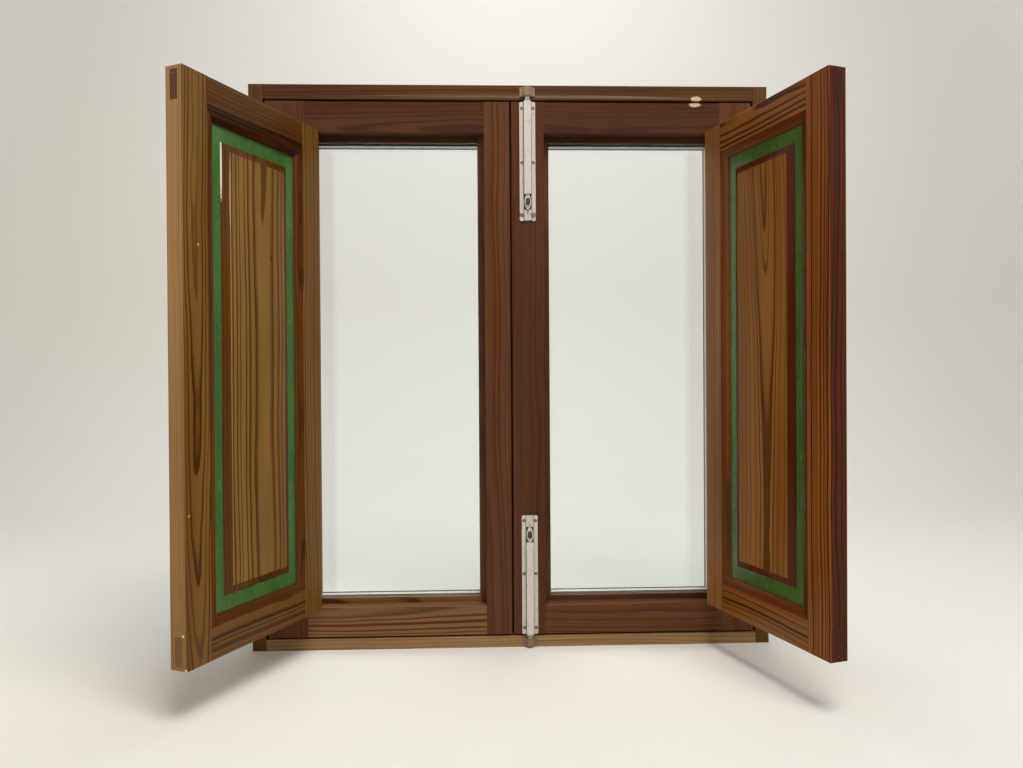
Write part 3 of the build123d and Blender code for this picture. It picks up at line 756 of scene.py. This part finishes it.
def makePanel(hand, woodOne, green):
    # rings of rectangles from the rim inwards on each side: margin, step, bevel, step, field
    size, cut = leafSize, panelCut
    rim = size["member"] + size["stickWide"] - size["groove"] + cut["slack"]
    margin = size["groove"] - cut["slack"]
    side, end, wide = cut["bandSide"] + margin, cut["bandEnd"] + margin, cut["wide"]
    rise, step = cut["rise"], cut["step"]
    # inset from the painted band's inner line, and height above the margin, with softened corners
    profile = np.array([(0, 0), (0.0002, step * 0.8), (0.0006, step), (wide - 0.0008, rise - step * 1.4),
                        (wide - 0.0003, rise - step * 0.3), (wide, rise - 0.0001), (wide + 0.0006, rise)])
    sideways = np.concatenate([[0.0], side + profile[:, 0]])
    endways = np.concatenate([[0.0], end + profile[:, 0]])
    above = np.concatenate([[0.0], profile[:, 1]])
    corners = np.array([(-1, -1), (1, -1), (1, 1), (-1, 1)])

    def face(outward):
        x = (size["width"] / 2 - rim - sideways)[:, None] * corners[None, :, 0] + size["width"] / 2
        z = (size["height"] / 2 - rim - endways)[:, None] * corners[None, :, 1] + size["height"] / 2
        foot = size["panelDrop"] if outward < 0 else size["thick"] - size["panelDrop"]
        y = np.repeat((foot + outward * above)[:, None], 4, axis=1)
        return np.stack([x, y, z], axis=2).reshape(-1, 3)

    shift = 4 * len(above)
    front = ringQuads(len(above), 4) + [list(range(shift - 4, shift))]
    back = turnedOver([[i + shift for i in f] for f in front])
    edge = [[i, i + shift, (i + 1) % 4 + shift, (i + 1) % 4] for i in range(4)]
    faces = front + back + edge
    painted = [0] * len(front) + [1] * 4 + [0] * len(back)
    ringStainAndShading = np.repeat(cut["stain"], 4)
    stain = np.concatenate([ringStainAndShading, [0], ringStainAndShading, [0], np.zeros(4)])
    makePiece(hand + "Panel", placeLeaf(np.concatenate([face(-1), face(1)]), hand),
              turnedOver(faces) if hand == "right" else faces, hand + "_shutter", "panel_pine", [woodOne, green],
              ["shutter_%s_panel" % hand], stain, painted)


# each member's own board: where it is centred, where its pith lies, its rings, the specks on it, and its shade, a
# painted shade on members that stand in less light
mid = leafSize["thick"] / 2
woods = {
    "left": {
        "hinge": dict(lie="z", centre=(0.024, mid, 0), pith=(0.03, 0.04), ring=0.0040, wander=0.010, seed=3.1),
        "free": dict(
            lie="z", centre=(0.27, mid, 0), pith=(0.004, 0.046), ring=0.0033, wander=0.009, seed=5.4, tilt=0.014,
            spots=[dict(at=(0.2695, 0.0285, 0.566), size=0.0016, colour=(206, 178, 140)),
                   dict(at=(0.290, 0.0285, 0.205), size=0.0016, colour=(206, 178, 140)),
                   dict(at=(0.296, 0.0225, 0.047), size=0.0019, colour=(220, 204, 176)),
                   dict(at=(0.296, 0.0268, 0.002), size=0.0021, colour=(220, 204, 176))]),
        "top": dict(lie="x", centre=(0.15, mid, 0.776), pith=(-0.05, 0.05), ring=0.0038, wander=0.008, seed=8.2,
                    shade=0.68, contrast=1.2, tone="topLeft"),
        "bottom": dict(lie="x", centre=(0.15, mid, 0.022), pith=(0.03, 0.06), ring=0.0052, wander=0.012, seed=2.6,
                       shade=0.76, contrast=1.3),
    },
    "right": {
        "hinge": dict(lie="z", centre=(-0.024, mid, 0), pith=(-0.05, 0.03), ring=0.0036, wander=0.006, seed=4.7,
                      tone="hingeRight"),
        # its deep stained colour darkens its mouldings and outer edge: stain and painted shade on the mouldings,
        # painted shade on the edge
        "free": dict(lie="z", centre=(-0.27, mid, 0), pith=(0.045, 0.045), ring=0.0042, wander=0.006, seed=9.3,
                     contrast=2.2, tone="freeRight", shade=0.9, stainAndShadingColour=(0.36, 0.22, 0.08, 1)),
        "top": dict(lie="x", centre=(-0.15, mid, 0.776), pith=(0.02, 0.06), ring=0.0056, wander=0.012, seed=1.9,
                    contrast=1.6),
        "bottom": dict(lie="x", centre=(-0.15, mid, 0.022), pith=(-0.03, 0.05), ring=0.0044, wander=0.010,
                       seed=6.5),
    },
}
# the left panel's marks: a dark fleck, and two painted highlights, a white line where the paint ends and a pale
# line along the field's arris
panelFleckAndHighlights = [
    dict(at=(0.121, 0.027, 0.568), squeeze=(1.1, 1, 0.42), size=0.0027, ragged=0.9, colour=(70, 44, 18),
         strength=0.8),
    dict(at=(0.2187, 0.0214, 0.684), squeeze=(6, 1, 0.15), size=0.0078, ragged=0.6, colour=(232, 226, 206)),
    dict(at=(0.2066, 0.0265, 0.645), squeeze=(7, 1, 0.14), size=0.0085, ragged=0.3, colour=(190, 158, 108),
         strength=0.9),
    dict(at=(0.2063, 0.0265, 0.410), squeeze=(9, 1, 0.026), size=0.0085, ragged=0.6, colour=(172, 138, 88),
         strength=0.7),
]
panelWoods = {
    "left": dict(lie="z", centre=(0.149, mid, 0.4), pith=(-0.012, 0.042), ring=0.0074, wander=0.013, seed=7.7,
                 tilt=0.02, contrast=1.5, stainAndShadingColour=(0.44, 0.29, 0.13, 1), spots=panelFleckAndHighlights),
    # the right panel's deeper stained colour darkens its bevels: stain and painted shade
    "right": dict(lie="z", centre=(-0.149, mid, 0.4), pith=(-0.006, 0.037), ring=0.0060, wander=0.012, seed=12.4,
                  tilt=0.042, tiltFrom=-0.02, contrast=1.5, stainAndShadingColour=(0.34, 0.13, 0.04, 1)),
}
# the right leaf's green is darker than the left's: painted shade on the same paint
greens = {"left": ((66, 112, 48), (56, 98, 40)), "right": ((62, 96, 34), (52, 84, 26))}
# the right leaf's tenon ends are darker than the left's: painted shade, as on that leaf's free edge
tenonTones = {
    "left": {"top": ((120, 78, 52), (56, 28, 16)), "bottom": ((150, 112, 70), (92, 60, 32))},
    "right": {"top": ((74, 30, 10), (40, 14, 4)), "bottom": ((96, 44, 16), (50, 18, 4))},
}

for hand in ("left", "right"):
    for which, given in woods[hand].items():
        given = {"tone": "leaf" + hand.capitalize(), **given}
        pine = wood(hand + which.capitalize() + "Pine", hand=hand, **given)
        if which in ("hinge", "free"):
            makeStile(hand, which, pine)
        else:
            tenon = tenonEnd(hand + which.capitalize() + "TenonEnd", hand, *tenonTones[hand][which])
            makeRail(hand, which, [pine, tenon])
    makePanel(hand, wood(hand + "PanelPine", "panel" + hand.capitalize(), hand=hand, **panelWoods[hand]),
              paint(hand + "Green", hand, *greens[hand]))
print("shutter leaves made")


# the pale chip that runs over the seam between the head and the right sash
chips = [dict(at=(x, -0.044, z), squeeze=(wide, 1, 2.0), size=0.0090, ragged=0.8, colour=(196, 172, 146))
         for x, z, wide in ((0.318, 0.9334, 0.90), (0.316, 0.9238, 0.86))]
# the frame and the sashes keep their shapes, and each piece gets its own board
# shade paints the head darker: painted shade
boards = {
    "frame_head": dict(tone="frame", lie="x", centre=(0, 0, 0.94), pith=(0.03, -0.05), ring=0.0050, wander=0.014,
                       seed=20.1, shade=0.78, spots=chips[:1]),
    "frame_sill": dict(tone="sill", lie="x", centre=(0, 0, 0.01), pith=(-0.02, -0.06), ring=0.0055, wander=0.012,
                       seed=21.3),
    "frame_jamb_left": dict(tone="frame", lie="z", centre=(-0.43, 0, 0.48), pith=(-0.05, -0.04), seed=22.7),
    "frame_jamb_right": dict(tone="frame", lie="z", centre=(0.43, 0, 0.48), pith=(0.05, -0.04), seed=23.9),
}
# the sashes: the middles of their stiles and panes across, which way is outwards, where their seeds begin
sashBoard = dict(tone="sash", contrast=0.7, gloss=0.34)
sashes = {
    "left": {"way": -1, "hinge": -0.38, "meeting": -0.023, "pane": -0.2, "seed": 24},
    "right": {"way": 1, "hinge": 0.385, "meeting": 0.029, "pane": 0.2, "seed": 34},
}
for hand, given in sashes.items():
    way, seed, x = given["way"], given["seed"], given["pane"]
    parts = {
        "hinge_stile": dict(lie="z", centre=(given["hinge"], 0, 0.5), pith=(0.04 * way, -0.06), seed=seed + 0.3),
        "meeting_stile": dict(lie="z", centre=(given["meeting"], 0, 0.5), pith=(0.03 * way, -0.08), ring=0.007,
                              wander=0.016, seed=seed + 1.6),
        # shade paints the top rails darker: painted shade
        "top_rail": dict(lie="x", centre=(x, 0, 0.9), pith=(-0.02, -0.07), ring=0.006, wander=0.018,
                         seed=seed + 2.4, shade=0.82),
        "bottom_rail": dict(lie="x", centre=(x, 0, 0.046), pith=(0.03, -0.07), ring=0.006, wander=0.016,
                            seed=seed + 3.8),
        "beads": dict(lie="z", centre=(x, 0.02, 0.5), pith=(0.3, 0.3), ring=0.004, seed=seed + 4.9),
        "drip_mould": dict(lie="x", centre=(x, 0.035, 0.05), pith=(0.05, 0.08), seed=seed + 6.1),
    }
    for part, board in parts.items():
        boards["sash_%s_%s" % (hand, part)] = {**sashBoard, **board}

boards["sash_right_top_rail"]["spots"] = chips[1:]
# painted light: the left sash's foot is painted paler, as if lit from below
boards["sash_left_bottom_rail"].update(tone="sashFoot", contrast=1.0)  # the paler foot of the left sash
boardRound = 0.0012


def bodyOf(node):
    # the leaves and the left sash swing, and what else is dressed here stays with the frame
    if node.startswith("shutter_"):
        return node.split("_")[1] + "_shutter"
    return "left_sash" if node.startswith("sash_left") else "frame"


def dress(node, material):
    nodes[node].data.materials.clear()
    nodes[node].data.materials.append(material)


for node, given in boards.items():
    pine = wood(pieceName(node) + "Pine", **given)
    if node.endswith(("beads", "drip_mould")):
        dress(node, pine)
    else:
        slotName = "frame_pine" if node.startswith("frame") else "sash_pine"
        roundArrises(node, bodyOf(node), slotName, pine, boardRound, given["lie"])
print("boards dressed:", len(boards))


# dirt round the screws at the top bolt's foot, down its housing and along its lower edge
footDirt = [
    dict(at=(0.0190, -0.0456, 0.7345), squeeze=(1, 1, 1.3), size=0.0056, ragged=1.0, colour=(92, 78, 54),
         strength=0.8),
    dict(at=(0.0380, -0.0456, 0.7345), squeeze=(1, 1, 1.2), size=0.0062, ragged=1.0, colour=(92, 78, 54),
         strength=0.8),
    dict(at=(0.0310, -0.0525, 0.7330), squeeze=(1.5, 1, 0.5), size=0.0034, ragged=0.8, colour=(150, 138, 116),
         strength=0.8),
    dict(at=(0.0290, -0.0460, 0.7243), squeeze=(0.2, 0.5, 1.2), size=0.0022, ragged=1.0, colour=(80, 62, 42),
         strength=0.9),
]
# each metal's colour, its dirt's colour, its roughness and how metallic it is
finishes = {
    "glass": clearGlass("clearGlass"),
    "spacer": metal("spacerBar", (196, 198, 196), (150, 150, 146), 0.35, 0.5),
    "hinge": metal("hingeBronze", (112, 96, 72), (60, 48, 34), 0.38, 0.8),
    "screws": metal("screwSteel", (118, 112, 102), (56, 48, 38), 0.42, 0.9),
    "white": metal("boltEnamel", (206, 200, 188), (112, 94, 70), 0.28, coat=0.3, grime=0.35,
                   housing={"middle": 0.029, "half": 0.006}, spots=footDirt),
    "keeper": metal("keeperEnamel", (130, 104, 74), (92, 68, 42), 0.35, coat=0.2, grime=0.6),
    # boltBlack colours the black thumb, and the guide under the bolt's window as painted shade for the dark
    # hollow there
    "black": metal("boltBlack", (46, 44, 40), (80, 72, 60), 0.40),
    "steel": metal("rodSteel", (150, 146, 136), (86, 76, 60), 0.35, 0.9),
}
# the first of these words in a node's name says its finish
finishWords = {
    "glass": "glass", "spacer": "spacer", "screws": "screws", "hinge": "hinge", "plate": "white",
    "grip": "white", "keeper": "keeper", "guide": "black", "thumb": "black", "rod": "steel",
}
# the arrises of the bolts' and the hinges' plates
plateRound = {
    "bolt": {"width": 0.0007, "least": 0.004, "sharpOver": 4},
    "hinge": {"width": 0.0003, "least": 0.004, "sharpOver": 12},
}

for node in nodes:
    words = node.split("_")
    if node in boards or words[0] == "shutter" and (words[2] != "hinge" or words[-1] == "stile"):
        continue
    finish = finishes[next(finishWords[word] for word in finishWords if word in words)]
    if words[-1] in ("plate", "keeper"):
        roundArrises(node, "frame", "bolt_white", finish, **plateRound["bolt"])
    elif "plates" in words:
        roundArrises(node, bodyOf(node), "hinges", finish, **plateRound["hinge"])
    else:
        dress(node, finish)
print("metal and glass dressed")


# the sheet's colour, shape in metres and fade, and the surroundings' strength
studio = {
    "floor": (0.78, 0.77, 0.74, 1), "shown": (0.86, 0.86, 0.85, 1), "front": -8.0, "back": 1.9, "wide": 16.0,
    "high": 6.0, "bend": 0.8, "bendPoints": 17, "world": 0.28, "daylight": (1.0, 0.985, 0.96, 1),
    "fadeRound": (0, 0.9, 0.6), "fadeFrom": 2.2, "fadeTo": 4.2,
}


def seenRays(tree):
    # 1 for the rays by which the eye sees a thing itself, in a gloss or through glass
    path = tree.nodes.new("ShaderNodeLightPath")
    seen = maths(tree, "MAXIMUM", path.outputs["Is Camera Ray"], path.outputs["Is Glossy Ray"])
    return maths(tree, "MAXIMUM", seen, path.outputs["Is Transmission Ray"])


def paleMaterial():
    # far from the window the sheet goes over into the shown grey of the surroundings, for the other views
    material, tree, shader = newMaterial("paleBackdrop")
    setSockets(shader, {"Base Color": studio["floor"], "Roughness": 0.9})
    coords = tree.nodes.new("ShaderNodeTexCoord").outputs["Object"]
    plain = tree.nodes.new("ShaderNodeEmission")
    plain.inputs["Color"].default_value = studio["shown"]
    far = vectorMaths(tree, "DISTANCE", coords, studio["fadeRound"])
    far = span(tree, far, studio["fadeFrom"], studio["fadeTo"])
    blendShaders(tree, times(tree, far, seenRays(tree)), shader, plain, "Material Output")
    return material


def makeBackdrop():
    # a sheet over the floor that bends up and stands behind: depth and height along a line, carried across
    turn = np.linspace(0, pi / 2, studio["bendPoints"])
    bend = studio["bend"]
    depth = np.concatenate([[studio["front"]], studio["back"] - bend + bend * np.sin(turn), [studio["back"]]])
    height = np.concatenate([[0.0], bend - bend * np.cos(turn), [studio["high"]]])
    x = np.array([-studio["wide"] / 2, studio["wide"] / 2])
    grid = np.stack(np.broadcast_arrays(x[None, :], depth[:, None], height[:, None]), axis=2)
    row = np.arange(len(depth) - 1)[:, None] * 2
    faces = np.concatenate([row, row + 1, row + 3, row + 2], axis=1).tolist()
    mesh = bpy.data.meshes.new("backdrop")
    mesh.from_pydata(grid.reshape(-1, 3).tolist(), [], faces)
    mesh.polygons.foreach_set("use_smooth", np.ones(len(mesh.polygons), dtype=bool))
    mesh.materials.append(paleMaterial())
    sheet = bpy.data.objects.new("backdrop", mesh)
    bpy.context.collection.objects.link(sheet)


makeBackdrop()

# where each lamp stands and aims, its side in metres, its watts and its colour
lamps = {
    "key": {"at": (0.6, -1.5, 3.1), "to": (-0.05, 0, 0.4), "wide": 1.5, "power": 80, "colour": (1.0, 0.97, 0.92)},
    "fill": {"at": (-2.3, -1.7, 1.2), "to": (0.1, 0, 0.45), "wide": 1.8, "power": 20,
             "colour": (1.0, 0.84, 0.64)},
    "sky": {"at": (0.1, 0.95, 2.9), "to": (0, 0.2, 0.3), "wide": 1.3, "power": 18, "colour": (0.92, 0.96, 1.0)},
}
for name, given in lamps.items():
    lamp = bpy.data.lights.new(name, "AREA")
    lamp.shape = "SQUARE"
    lamp.size = given["wide"]
    lamp.energy = given["power"]
    lamp.color = given["colour"]
    holder = bpy.data.objects.new(name, lamp)
    holder.location = given["at"]
    holder.rotation_euler = (Vector(given["to"]) - Vector(given["at"])).to_track_quat("-Z", "Y").to_euler()
    bpy.context.collection.objects.link(holder)

world = bpy.data.worlds.new("softDay")
world.use_nodes = True
bpy.context.scene.world = world
worldTree = world.node_tree
ground = worldTree.nodes["Background"]
shown = worldTree.nodes.new("ShaderNodeBackground")
shown.inputs["Color"].default_value = studio["shown"]
ground.inputs["Color"].default_value = studio["daylight"]
ground.inputs["Strength"].default_value = studio["world"]
blendShaders(worldTree, seenRays(worldTree), ground, shown, "World Output")

# the photograph's viewpoint: place in metres, angles, and focal length as a share of the picture's width
eye = {"at": (-0.0424, -1.3495, 0.457), "yaw": radians(-1.84), "pitch": radians(-0.38), "roll": radians(-0.36),
       "focal": 768.0 / 1023.0, "sensor": 36.0}
ahead = Vector((-sin(eye["yaw"]) * cos(eye["pitch"]), cos(eye["yaw"]) * cos(eye["pitch"]), sin(eye["pitch"])))
side = Vector((cos(eye["yaw"]), sin(eye["yaw"]), 0))
above = side.cross(ahead)
level = side * cos(eye["roll"]) + above * sin(eye["roll"])
upright = above * cos(eye["roll"]) - side * sin(eye["roll"])
lens = bpy.data.cameras.new("eye")
lens.sensor_width = eye["sensor"]
lens.lens = eye["sensor"] * eye["focal"]
camera = bpy.data.objects.new("eye", lens)
turnMatrix = Matrix((level, upright, -ahead)).transposed()
camera.matrix_world = Matrix.Translation(Vector(eye["at"])) @ turnMatrix.to_4x4()
bpy.context.collection.objects.link(camera)
bpy.context.scene.camera = camera
bpy.context.scene.view_settings.view_transform = "Standard"
print("studio set")
